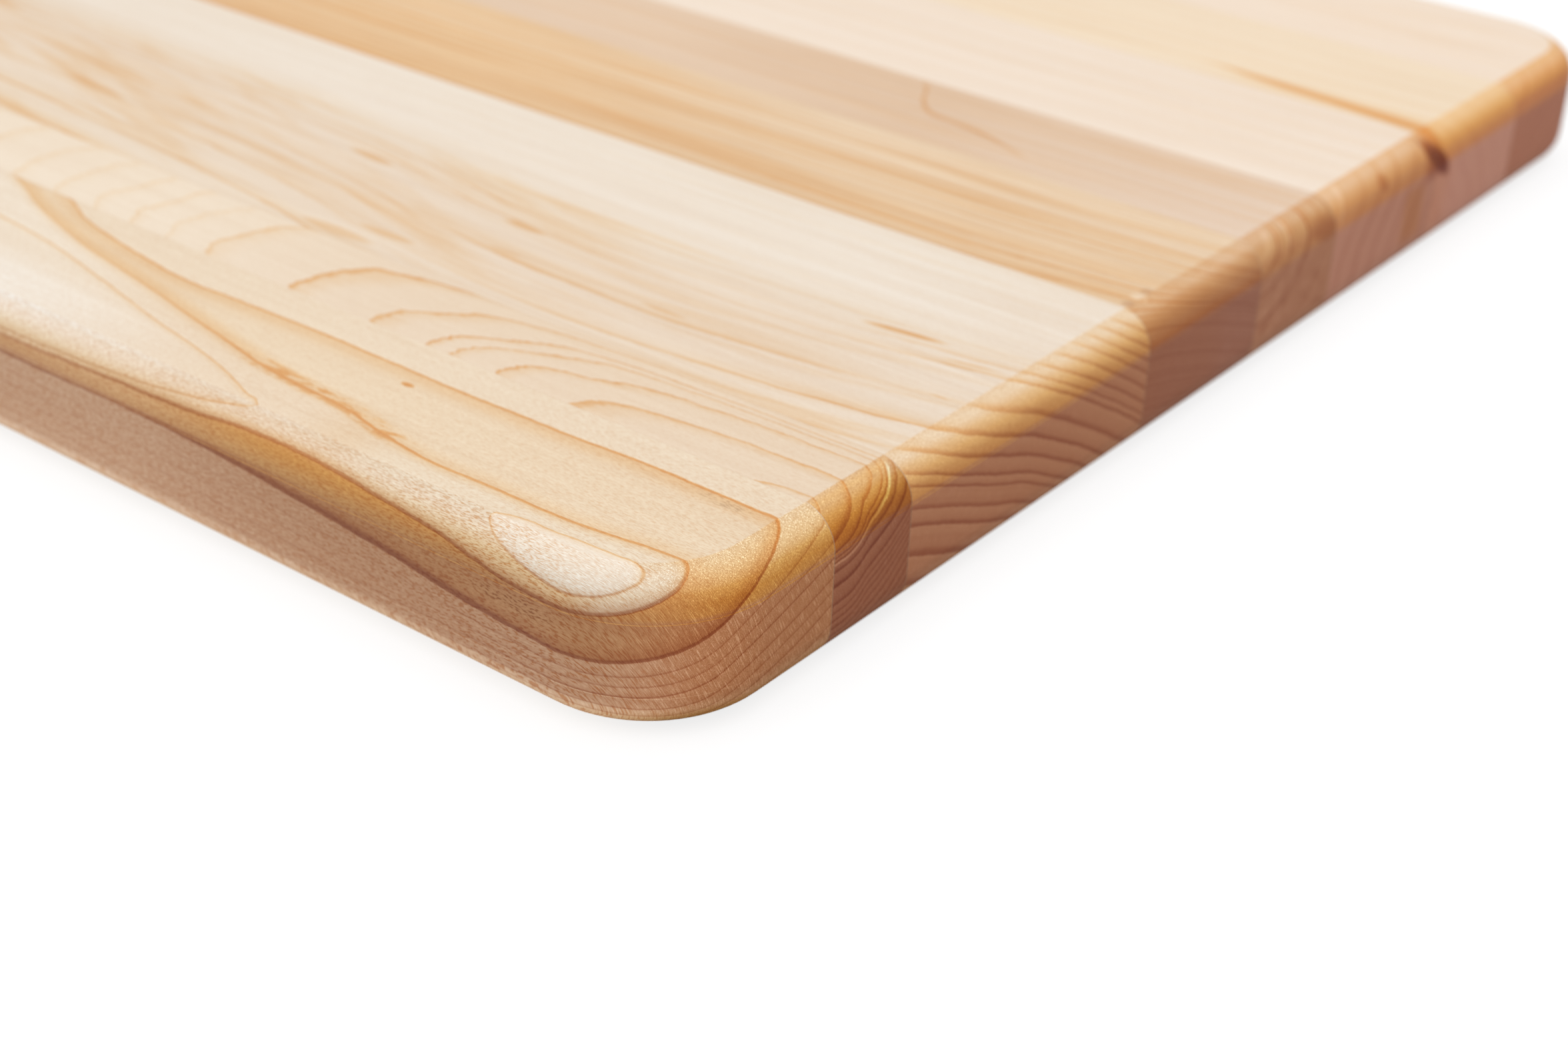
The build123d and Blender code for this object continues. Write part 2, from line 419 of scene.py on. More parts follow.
def maple(name, face, end, field, side=SIDE_COLOUR_AND_SHADE, grain_angle=0.0, line_top=(0.85, 0.49, 0.21), line_wall=(0.60, 0.40, 0.36),
          streak=0.05, fleck=0.5, sparkle=0.5, seed=0.0):
    """Hard maple. field gives the strength of the growth-ring lines, 0 to about 1, as one solid function of position,
    so that the figure runs on from the face over the rounded edge and down the end; it also gives a tone, a golden
    share and a pale share, any of which may be None. grain_angle is the angle of the rings on the end, in degrees."""
    g = Graph(name)
    x, y, z, nx, ny, nz = g.coords()
    nza = nz.abs()
    endness = g.smooth((nx * nx) / (nx * nx + ny * ny + 1e-4), 0.0, 1.0)     # 1 on the ends, 0 on the sides
    steep = g.smooth(nza, 0.9935, 0.985)                                     # 0 on the faces
    wall = g.smooth(nza, 0.60, 0.10)
    on_end = steep * endness
    on_side = steep * (1.0 - endness)

    # solid fine structure: vessels and fibres run along x, rays are thin ribbons standing across the rings
    ca, sa = math.cos(math.radians(grain_angle)), math.sin(math.radians(grain_angle))
    t = y * ca + z * sa
    r = z * ca - y * sa
    bend = g.noise(g.vec(x * 0.05, y * 0.12 + seed, z * 0.12), 1.0, 1.0, 0.5)
    fibre = g.noise(g.vec(x * 0.03 + seed, y * 1.3, z * 1.3), 1.0, 4.0, 0.62)
    fine = g.noise(g.vec(x * 0.35 + seed, y * 6.0, z * 6.0), 1.0, 2.0, 0.6)
    rays = g.noise(g.vec(x * 1.15 + seed, t * 8.4 + bend * 2.0, r * 0.42), 1.0, 1.0, 0.55)
    speck = g.noise(g.vec(x * 4.2, y * 6.0 + seed, z * 6.0), 1.0, 2.0, 0.7)
    cloud = g.noise(g.vec(x * 0.016 + seed, y * 0.07, z * 0.08), 1.0, 3.0, 0.55)

    line, tone, gold, pale = field(g, x, y, z, nx, ny, nz, rays)
    line = line.clamp()

    stream = g.noise(g.vec(x * 0.010 + seed * 1.7, y * 0.62 + cloud * 0.8, z * 0.62), 1.0, 4.0, 0.62)
    col = g.mixc((cloud * 0.6 + 0.5).clamp(), tuple(c * k for c, k in zip(face, (0.985, 0.965, 0.94))), tuple(c * k for c, k in zip(face, (1.015, 1.03, 1.05))))
    if tone is not None:
        col = g.mulc(col, tone)
    # edge colour by slope: the grain's own colour together with painted shade and highlight
    edge = g.mixc(endness, edge_colour_and_shade_ramp(g, nz, face, side), edge_colour_and_shade_ramp(g, nz, face, end))
    edge = g.mixc(steep, (1.0, 1.0, 1.0), edge)
    if gold is not None:
        low = g.mixc(wall, g.mixc(endness, (0.93, 0.72, 0.38), (0.97, 0.90, 0.82)), g.mixc(endness, (0.91, 0.83, 0.66), (0.93, 0.86, 0.76)))
        edge = g.mulc(edge, g.mixc(gold * g.smooth(nza, 0.97, 0.70), (1.0, 1.0, 1.0), low))
    if pale is not None:
        edge = g.mixc(pale, edge, (1.05, 1.08, 1.15))
    col = g.mulc(col, edge)
    down = g.smooth(nza, 0.99, 0.45)
    shade = g.node("ShaderNodeCombineColor")
    for i in range(3):
        kt, kw = math.log(line_top[i]), math.log(line_wall[i])
        g.put(shade.inputs[i], (line * (down * (kw - kt) + kt)).exp())
    col = g.mulc(col, F(g, shade.outputs[0]))

    # fibres, ray flecks (dark dashes along the grain on faces and sides; pale streaks, painted glints of the rays,
    # mostly on the end walls) and end-grain specks, the bright ones painted glints of the fibres
    dash = g.smooth(rays, -0.04, 0.32)
    glint = g.smooth(rays, -0.10, -0.42)
    near = 0.55 + 0.45 * g.smooth(x, -75.0, -20.0)
    val = 1.0 + (fibre * 0.75 + stream * 0.75) * streak * (1.0 - on_end * 0.7) + fine * 0.05 * (1.0 - on_end) + g.smooth(speck, 0.06, 0.42) * on_end * (0.62 - wall * 0.22) * sparkle - g.smooth(speck, 0.0, -0.34) * on_end * 0.26 * sparkle
    val = val + glint * fleck * (0.035 + on_end * wall * 0.46 + on_side * 0.10)
    val = val.max(0.05)
    n = g.node("ShaderNodeCombineColor")
    g.put(n.inputs[0], val ** 0.8)
    g.put(n.inputs[1], val ** 1.35)
    g.put(n.inputs[2], val ** 1.9)
    col = g.mulc(col, F(g, n.outputs[0]))
    amount = dash * fleck * near * (0.46 + on_side * (0.66 - wall * 0.12) - on_end * 0.16 - on_end * wall * 0.10)
    if pale is not None:
        amount = amount * (1.0 - pale * 0.55 * g.smooth(x, -30.0, -16.0))
    col = g.mulc(col, g.mixc(amount, (1.0, 1.0, 1.0), (0.80, 0.56, 0.36) if pale is None else g.mixc(pale, (0.80, 0.56, 0.36), (0.86, 0.62, 0.42))))

    bsdf = g.node("ShaderNodeBsdfPrincipled")
    g.put(bsdf.inputs["Base Color"], col)
    g.put(bsdf.inputs["Roughness"], (0.46 + fibre * 0.05 + on_end * 0.08 + dash * 0.08 - line * 0.05 + speck * 0.06).clamp())
    bsdf.inputs["IOR"].default_value = 1.45
    g.put(bsdf.inputs["Specular IOR Level"], 0.36 - on_end * 0.16)
    bump = g.node("ShaderNodeBump")
    bump.inputs["Strength"].default_value = 0.5
    bump.inputs["Distance"].default_value = 0.001
    height = fine * 0.010 + fibre * 0.012 - dash * fleck * 0.030 - line * 0.030 + speck * on_end * 0.035 * sparkle
    g.put(bump.inputs["Height"], height)
    g.nt.links.new(bump.outputs[0], bsdf.inputs["Normal"])
    out = g.node("ShaderNodeOutputMaterial")
    g.nt.links.new(bsdf.outputs[0], out.inputs[0])
    return g.mat


def ring_profile(g, q, flip=False, core=0.07, tail=0.5):
    """Dark line at each whole number of q: crisp on one side, fading over the other like the close of a season's growth."""
    f = (-q).fract() if flip else q.fract()
    f = 1.0 - f if not flip else 1.0 - f
    # f is 0 at the line and grows away from it on the soft side
    return (1.0 - g.smooth(f, core * 0.4, core * 1.6)) * 0.68 + (1.0 - g.smooth(f, 0.0, tail)) * 0.32


def wobble(g, x, y, z, seed, ax=0.02, ay=0.10, detail=3.0):
    return g.noise(g.vec(x * ax + seed, y * ay, z * ay), 1.0, detail, 0.5)


def spindle(g, x, y, x0, y0, length, width, slope=0.0):
    """A short mark with tapered ends lying along the grain."""
    u = (x - x0) / length
    v = ((y - y0) - (x - x0) * slope) / width
    return 1.0 - g.smooth(u * u + v * v, 0.1, 1.0)


# Each stave's figure, in millimetres from the near end corner. A sheet of late wood is given by its height over the
# side (a) and the distance in from the side at which it comes out on the face (w).

def sheet(g, x, y, z, nx, ny, nz, a, w, rise, ruffle):
    """Distance, along the surface, above a sheet of late wood."""
    h = a + (TK - a) * rise(y / w)
    hy = (TK - a) / w
    spread = (1.0 + hy * hy - (nz - ny * hy) ** 2.0).max(0.004).sqrt()
    return (z - h) / spread + ruffle, z - h


def sheet_line(g, d, core=0.45, tail=2.6, edge=0.22):
    return g.smooth(d, -edge, edge * 0.1) * ((1.0 - g.smooth(d, core * 0.4, core * 1.5)) * 0.72 + (1.0 - g.smooth(d, 0.0, tail)) * 0.28)


def figure_1(g, x, y, z, nx, ny, nz, rays):
    w = wobble(g, x, y, z, 3.1, 0.07, 0.10)
    j = g.noise(g.vec(x * 0.40, y * 0.8, z * 0.8), 1.0, 3.0, 0.65)
    ruffle = w * 0.25 + j * 0.16
    a1 = g.curve(x, [(-457, 16.0), (-260, 17.5), (-130, 17.1), (-100, 17.3), (-90, 17.05), (-80, 16.5), (-70, 15.8), (-60, 15.0), (-50, 14.0), (-40, 12.7), (-30, 11.8), (-20, 11.2), (-10, 10.8), (0, 10.4)], -457, 0, 0, 30)
    y1 = g.curve(x, [(-457, 30), (-380, 24), (-300, 38), (-240, 48), (-180, 42), (-157, 34), (-150, 31), (-140, 29), (-130, 27.5), (-120, 26.5), (-110, 26.9), (-95, 27.4), (-60, 27.5), (-45, 28), (-25, 28.9), (-20, 28.9), (-5, 28.9), (0, 28.6)], -457, 0, 0, 60)
    a2 = g.curve(x, [(-457, 20), (-300, 18.5), (-160, 19.0), (-130, 19.6), (-110, 20.2), (-90, 20.8), (-80, 21.4), (-70, 21.6), (-60, 21.3), (-50, 20.7), (-40, 20.0), (-33, 19.0), (-26, 18.0), (-20, 17.8), (-12, 17.4), (0, 16.6)], -457, 0, 0, 30)
    y2 = g.curve(x, [(-457, 14), (-400, 10), (-330, 22), (-260, 44), (-200, 42), (-170, 33.5), (-160, 29.5), (-150, 26.5), (-140, 24), (-130, 22.3), (-120, 20.5), (-110, 18.5), (-100, 16.5), (-95, 15.5), (-90, 14.5), (-80, 13.7), (-70, 13), (-65, 12), (-60, 11), (-50, 9.8), (-40, 10.2), (-30, 10.2), (-20, 11), (-10, 12.3), (0, 12.6)], -457, 0, 0, 60)
    a3 = g.curve(x, [(-457, 23), (-300, 20.5), (-160, 20.0), (-130, 20.5), (-105, 21.2), (-95, 21.8), (-85, 22.6), (-80, 23.2), (-75, 24.0), (-67, 25.0), (-55, 25.2), (-47, 24.6), (-41, 23.7), (-36, 22.9), (-29, 21.2), (-20, 19.9), (-12, 19.4), (0, 19.0)], -457, 0, 0, 30)
    m3 = g.curve(x, [(-457, 0.2), (-150, 0.17), (-130, 0.185), (-105, 0.208), (-95, 0.192), (-85, 0.17), (-80, 0.12), (-60, 0.10), (-41, 0.12), (-36, 0.2), (-29, 0.38), (-20, 0.53), (-12, 0.56), (-7, 0.52), (0, 0.55)], -457, 0, 0, 1)
    rise1 = lambda t: g.curve(t, [(0, 0), (0.32, 0.26), (0.645, 0.72), (0.82, 0.87), (1, 1), (1.4, 1.26), (2, 1.6)], 0, 2, 0, 2)
    d1, g1 = sheet(g, x, y, z, nx, ny, nz, a1, y1, rise1, ruffle)
    d2, g2 = sheet(g, x, y, z, nx, ny, nz, a2, y2, lambda t: t, ruffle)
    s3 = (1.0 + m3 * m3 - (nz - ny * m3) ** 2.0).max(0.004).sqrt()
    d3 = (z - a3 - m3 * y) / s3 + ruffle * 0.8
    amp1 = g.curve(x, [(-457, 0.7), (-160, 0.62), (-130, 0.75), (-100, 0.72), (-50, 0.78), (-20, 0.97), (0, 1.0)], -457, 0, 0, 1)
    amp2 = g.curve(x, [(-457, 0.6), (-160, 0.5), (-120, 0.62), (-95, 0.9), (-80, 1.0), (-65, 1.0), (-55, 0.97), (-45, 0.85), (-25, 0.9), (0, 0.85)], -457, 0, 0, 1)
    wall = g.smooth(nz.abs(), 0.5, 0.1)
    thick = 0.27 + 0.66 * wall * g.smooth(x, -112.0, -70.0) * (1.0 - g.smooth(x, -42.0, -18.0)) + 0.12 * wall
    e = sheet_line(g, d1, thick, 3.0) * amp1 * (1.0 + wall * 0.30)
    e = e.max(sheet_line(g, d2, 0.46, 2.4) * amp2 * (1.0 + g.smooth(nz.abs(), 0.99, 0.8) * 0.28))
    e = e.max((1.0 - g.smooth(-d2, 0.0, 3.6)) * g.smooth(d2, 0.3, -0.1) * (0.16 + 0.14 * g.smooth(x, -55.0, -70.0)))
    e = e.max(sheet_line(g, d3, 0.24, 1.5) * 0.50)
    # finer lines under the first sheet
    d0 = g.curve(x, [(-457, 6.5), (-130, 7.4), (-80, 8.2), (-60, 7.9), (-40, 5.9), (-20, 4.7), (0, 4.3)], -457, 0, 0, 10) + y * 0.3 - y * y * 0.005
    q = g1 / d0
    under = 0.34 + 0.66 * g.smooth(x, -48.0, -16.0)
    for at, s in ((-0.42, 0.50), (-0.72, 0.46), (-1.0, 0.70), (-1.35, 0.56), (-1.6, 0.44), (-1.85, 0.60), (-2.2, 0.5)):
        e = e.max(sheet_line(g, (q - at) * d0 + j * 0.1, 0.20, 1.0, 0.12) * s * under)
    e = e.max(sheet_line(g, d1 - 1.5 - w * 0.5, 0.12, 0.5) * 0.10)
    # mottling beside the second sheet, and a pin knot
    near2 = 1.0 - g.smooth((d2 + 0.3).abs(), 0.5, 2.4)
    blot = g.smooth(g.noise(g.vec(x * 0.17, y * 0.6, z * 0.5), 1.0, 3.0, 0.7), -0.16, 0.16) * g.smooth(x, -99.0, -90.0) * (1.0 - g.smooth(x, -62.0, -50.0)) * near2 * g.smooth(nz, 0.9, 0.99)
    e = e.max(blot * 0.85)
    knot = spindle(g, x, y, -69.3, 23.9, 1.5, 0.72) * g.smooth(z, 22.0, 23.5)
    e = e.max(knot * 0.95)
    # small grey marks
    marks = (spindle(g, x, y, -13.5, 27.4, 6.0, 1.3) * g.smooth(z, 23.0, 23.7) + spindle(g, x, z, -26.0, 15.6, 9.0, 1.6) * g.smooth(ny, -0.6, -0.9)).clamp()
    marks = marks * g.smooth(rays, 0.05, 0.35)
    # tone of the wood between the sheets
    in1 = g.smooth(d1, -0.1, 0.3)
    in2 = g.smooth(d2, -0.1, 0.25)
    in3 = g.smooth(d3, -0.1, 0.25) * g.smooth(x, -48.0, -30.0)
    far = 1.0 - g.smooth(x, -150.0, -85.0)
    tone = g.mixc(in1, (1.0, 1.0, 1.0), g.mixc(1.0 - g.smooth(d1, 0.0, 4.5), (0.992, 0.962, 0.910), (0.972, 0.905, 0.815)))
    tone = g.mixc(in2, tone, g.mixc(far, g.mixc(g.smooth(x, -52.0, -66.0), (0.998, 1.010, 1.015), (0.955, 0.885, 0.80)), (1.03, 1.075, 1.15)))
    tone = g.mixc(in3, tone, (1.005, 1.03, 1.06))
    tone = g.mulc(tone, g.mixc(marks, (1.0, 1.0, 1.0), (0.72, 0.74, 0.78)))
    flank = g.smooth(ny, -0.75, -0.98)
    along = g.ramp(x, [(-200, (1.10, 1.19, 1.28)), (-104, (1.10, 1.18, 1.26)), (-84, (1.0, 1.01, 1.02)), (-70, (0.95, 0.94, 0.92)), (-54, (0.895, 0.855, 0.80)), (-38, (0.90, 0.87, 0.82)), (-24, (0.93, 0.93, 0.92)), (-6, (0.98, 0.98, 0.98))], -200, 0)
    tone = g.mulc(tone, g.mixc(flank, (1.0, 1.0, 1.0), along))
    brow = g.smooth(ny, -0.08, -0.25) * g.smooth(nz, 0.2, 0.5) * g.smooth(x, -52.0, -78.0) * (in2 * 0.7 + 0.3)
    tone = g.mulc(tone, g.mixc(brow, (1.0, 1.0, 1.0), (1.045, 1.09, 1.16)))
    rim = (1.0 - g.smooth(y, 9.5, 18.0)) * g.smooth(nz, 0.93, 0.99) * g.smooth(x, -62.0, -76.0)
    tone = g.mulc(tone, g.mixc(rim, (1.0, 1.0, 1.0), (1.04, 1.10, 1.20)))
    # painted light: the lower round, most near the corner, lightened as if lit from the floor below, with a paler sheen
    foot_painted_light = g.smooth(nz, -0.04, -0.35) * (1.0 - g.smooth(nz, -0.75, -0.98)) * (0.45 + 0.55 * g.smooth(x, -45.0, -15.0))
    tone = g.mulc(tone, g.mixc(foot_painted_light, (1.0, 1.0, 1.0), (1.09, 1.18, 1.22)))
    gold = in1 * (1.0 - in2) * g.smooth(x, -118.0, -68.0)
    pale = (in3 * g.smooth(nz.abs(), 0.25, 0.60)).max(in2 * g.smooth(nx, 0.10, 0.45) * 0.6)
    return e, tone, gold, pale


def figure_2(g, x, y, z, nx, ny, nz, rays):
    w = wobble(g, x, y, z, 7.7, 0.05, 0.14)
    j = g.noise(g.vec(x * 0.35, y * 1.0, z * 1.0), 1.0, 3.0, 0.65)
    a = g.curve(y, [(34, 0.5), (35, 6), (36.5, 15), (39, 27), (41, 37), (43.2, 48), (45, 52.5), (47, 58), (48.6, 63), (50.7, 73), (51.5, 77), (53, 88)], 34, 53, 0, 100)
    c = g.curve(y, [(34, 9.6), (35, 9.2), (36.5, 8.2), (39, 7.0), (41, 6.5), (45, 6.6), (50, 7.3), (53, 7.6)], 34, 53, 5, 10)
    xa = x.abs()
    d = TK - z
    away = g.smooth(xa, 92.0, 116.0)
    a = a * (1.0 - away * 0.26)
    fx = (xa ** 3.0 + a ** 3.0) ** (1.0 / 3.0) + away * 0.05 * (42.0 - y).max(0.0) ** 2.0 + c * d.min(8.0) + 7.4 * (d - 8.0).max(0.0) + w * 2.6 + j * 1.3
    q = g.curve(fx.min(178.0), [(-2, 0), (15, 1), (48, 2), (63, 3), (72, 4), (77.5, 5), (90, 6), (108, 7), (129, 8), (139, 9), (148, 10), (157, 11), (167, 12), (178, 13)], -2, 178, 0, 13) + (fx - 178.0).max(0.0) / 14.0
    amp = g.ramp(q, [(0.6, 0.1), (0.9, 0.55), (1.5, 0.55), (1.7, 0.72), (2.5, 0.72), (2.7, 0.78), (4.0, 0.82), (4.1, 1.0), (5.3, 1.0), (5.5, 0.68), (6.4, 0.68), (6.6, 1.0), (7.5, 1.0), (7.7, 0.6), (8.5, 0.6), (8.7, 0.4), (9.5, 0.4), (9.7, 0.6), (10.5, 0.6), (10.8, 0.45), (16, 0.45)], 0, 16)
    steep = g.smooth(nx, 0.3, 0.8)
    face = amp * (1.0 - 0.34 * g.smooth(q, 7.5, 9.5)) * (0.72 + 0.28 * g.smooth(x, -112.0, -88.0)) * (0.80 + 0.5 * j) * (1.0 - steep)
    e = ring_profile(g, q, core=0.075, tail=0.42) * face + ring_profile(g, q, core=0.22, tail=0.85) * steep * (0.35 + 0.65 * amp)
    # under the strong pair of lines the end grain has a fine raised ridge, drawn as a pale line: a painted highlight,
    # with no relief modelled
    ridge_highlight = (1.0 - g.smooth((fx - 80.0 - j * 0.8).abs(), 0.6, 2.1)) * g.smooth(nx, 0.25, 0.55) * g.smooth(z, 14.6, 15.6)
    tone = g.mulc(g.ramp(y, [(35, (1.0, 1.0, 1.0)), (53, (0.985, 0.975, 0.96))], 34, 54), g.mixc(g.smooth(x, -82.0, -150.0), (1.0, 1.0, 1.0), (1.075, 1.14, 1.21)))
    above = g.smooth(fx, 84.0, 74.0) * g.smooth(nx, 0.15, 0.4)
    tone = g.mulc(tone, g.mixc(above, (1.0, 1.0, 1.0), (1.12, 1.10, 0.92)))
    tone = g.mixc(ridge_highlight, tone, g.mixc(g.smooth(nz, 0.1, 0.5), (1.45, 1.75, 1.85), (1.40, 2.05, 2.7)))
    return e * (1.0 - ridge_highlight), tone, None, None


def figure_3(g, x, y, z, nx, ny, nz, rays):
    w = wobble(g, x, y, z, 11.3, 0.02, 0.10)
    j = g.noise(g.vec(x * 0.10, y * 0.8, z * 0.8), 1.0, 3.0, 0.65)
    d = TK - z
    shift = g.curve(x, [(-457, 26), (-300, 19), (-220, 15), (-170, 11), (-135, 7), (-100, 1.6), (-70, 0), (-40, 1.8), (-20, 4.5), (0, 8.2)], -457, 0, 0, 30)
    wy = 1.0 - 0.6 * g.smooth(y, 82.0, 104.0)
    o = y - 101.0
    v = y + 0.3 * (o + (o * o + 16.0).sqrt()) - shift * wy - d * 2.55 + w * 1.4 + j * 0.5
    q = g.curve(v.max(-20.0), [(-20, -1), (-5, 0), (7.4, 1), (19.9, 2), (27.2, 3), (36, 4), (40.5, 5), (48, 6), (56, 7), (65.6, 8), (76.9, 9), (80.9, 10), (86.2, 11), (92.7, 12), (99.4, 13), (105, 14), (111, 15), (117, 16), (124, 17)], -20, 124, -1, 17)
    steep = g.smooth(nx, 0.1, 0.5)
    amp = 0.50 + 0.45 * g.white(q.floor() + 0.5)
    patch = g.smooth(g.noise(g.vec(x * 0.02, v * 0.08, 3.0), 1.0, 2.0, 0.5), -0.35, 0.45)
    e = ring_profile(g, q, True, 0.09, 0.62) * amp * (1.0 - steep) * (0.14 + 0.56 * patch) * (1.0 - 0.8 * g.smooth(v, 80.0, 92.0))
    e = e + ring_profile(g, q, True, 0.20, 0.95) * (0.50 + 0.36 * amp) * steep * (1.0 - 0.30 * g.smooth(nz, 0.2, 0.7))
    # short brown marks on the face
    m = None
    for x0, y0, ln, wd, sl, s in ((-26.0, 87.0, 8.5, 1.0, 0.13, 0.80), (-12.0, 84.5, 6.0, 0.5, 0.2, 0.4), (-58.0, 68.0, 6.0, 0.75, 0.0, 0.40), (-92.0, 68.0, 5.0, 0.8, 0.0, 0.3), (-96.0, 77.4, 6.0, 1.2, 0.0, 0.50),
                                  (-137.0, 82.0, 7.0, 1.4, -0.1, 0.42), (-111.0, 60.0, 8.0, 1.3, 0.0, 0.40), (-118.0, 55.5, 10.0, 1.8, 0.0, 0.35), (-90.0, 89.0, 38.0, 0.8, 0.0, 0.25), (-9.5, 72.6, 2.2, 0.4, 0.0, 0.4),
                                  (-200.0, 72.0, 12.0, 1.5, -0.1, 0.4), (-255.0, 90.0, 14.0, 1.3, -0.1, 0.4), (-330.0, 66.0, 12.0, 1.4, -0.1, 0.4)):
        k = spindle(g, x, y, x0, y0 + 0.0, ln, wd, sl) * s
        m = k if m is None else m.max(k)
    top = g.smooth(z, 23.0, 23.7)
    m = m * top * (0.7 + 0.5 * j).clamp()
    soft = g.smooth(g.noise(g.vec(x * 0.011, v * 0.30, 5.0), 1.0, 3.0, 0.6), -0.05, 0.55) * (1.0 - g.smooth(v, 80.0, 92.0))
    smear = g.smooth(g.noise(g.vec(x * 0.016, (y + x * 0.22) * 0.13, 1.5), 1.0, 3.0, 0.6), -0.1, 0.5) * g.smooth(x, -62.0, -125.0) * (1.0 - g.smooth(v, 82.0, 96.0)) * (1.0 - steep)
    e = e.max(m * 1.3) + soft * 0.28 * (1.0 - steep * 0.5) + smear * 0.40
    # small dark marks in the crease at the top of the end
    crease_marks = g.smooth(g.noise(g.vec(x * 0.3, y * 0.30, 2.0), 1.0, 2.0, 0.6), 0.25, 0.55) * (1.0 - g.smooth((x + 6.4).abs(), 0.25, 1.0)) * top * g.smooth(y, 66.0, 76.0) * 1.4
    tone = g.ramp(v + w * 2.0, [(30, (0.985, 0.955, 0.90)), (50, (0.965, 0.915, 0.855)), (62, (0.955, 0.895, 0.835)), (78, (0.955, 0.90, 0.845)), (87, (0.975, 0.945, 0.905)), (97, (1.0, 1.0, 1.0)), (125, (1.005, 1.01, 1.01))], 20, 130)
    tone = g.mixc(g.smooth(x, -34.0, -12.0), tone, g.mixc(0.5, tone, (0.985, 0.96, 0.935)))
    tone = g.mixc(g.smooth(nx, 0.1, 0.4), tone, (1.0, 1.0, 1.0))
    tone = g.mulc(tone, g.mixc(crease_marks.clamp(), (1.0, 1.0, 1.0), (0.62, 0.56, 0.53)))
    return e, tone, None, None


def figure_4(g, x, y, z, nx, ny, nz, rays):
    w = wobble(g, x, y, z, 21.0, 0.012, 0.10)
    j = g.noise(g.vec(x * 0.05, y * 1.2, z * 1.2), 1.0, 3.0, 0.65)
    d = TK - z
    o = y - 118.0
    v = o * 0.72 + o * o * 0.010 - d * 3.4 + w * 1.6 + j * 0.5 - 3.0 * g.smooth(x, -45.0, 5.0)
    q = v / 3.1 + g.noise(g.vec(x * 0.003, v * 0.09, 8.0), 1.0, 2.0, 0.5) * 0.8
    steep = g.smooth(nx, 0.1, 0.5)
    k = g.white(q.floor() + 0.5)
    amp = 0.16 + 0.50 * k * k
    e = ring_profile(g, q, True, 0.14, 0.85) * amp * (0.75 + 0.45 * steep)
    s = g.noise(g.vec(x * 0.007, v * 0.22, 4.0), 1.0, 3.0, 0.62)
    e = e + g.smooth(s, -0.1, 0.5) * 0.30
    tone = g.ramp(y + w * 3.0, [(118, (0.965, 0.93, 0.88)), (126, (0.985, 0.97, 0.955)), (138, (1.0, 1.0, 1.0)), (146, (1.03, 1.08, 1.17)), (154, (1.02, 1.07, 1.15))], 112, 160)
    tone = g.mulc(tone, g.mixc(g.smooth(x, -85.0, -165.0), (1.0, 1.0, 1.0), (1.01, 0.94, 0.82)))
    # a painted highlight where a chip at the crease catches the light, and two dark marks beside it, painted shade of
    # small dents
    chip_highlight = (1.0 - g.smooth((y - 122.9) ** 2.0 + (x + 5.6) ** 2.0 * 0.5, 0.5, 2.0)) * g.smooth(z, 22.6, 23.3)
    crease_marks = (spindle(g, x, y, -5.8, 119.6, 1.3, 1.6) + spindle(g, x, y, -6.0, 125.6, 1.2, 1.5)).clamp() * g.smooth(z, 22.6, 23.3)
    tone = g.mixc(chip_highlight * 0.7, tone, (1.12, 1.3, 1.6))
    tone = g.mulc(tone, g.mixc(crease_marks * 0.8, (1.0, 1.0, 1.0), (0.78, 0.66, 0.58)))
    return e, tone, None, None


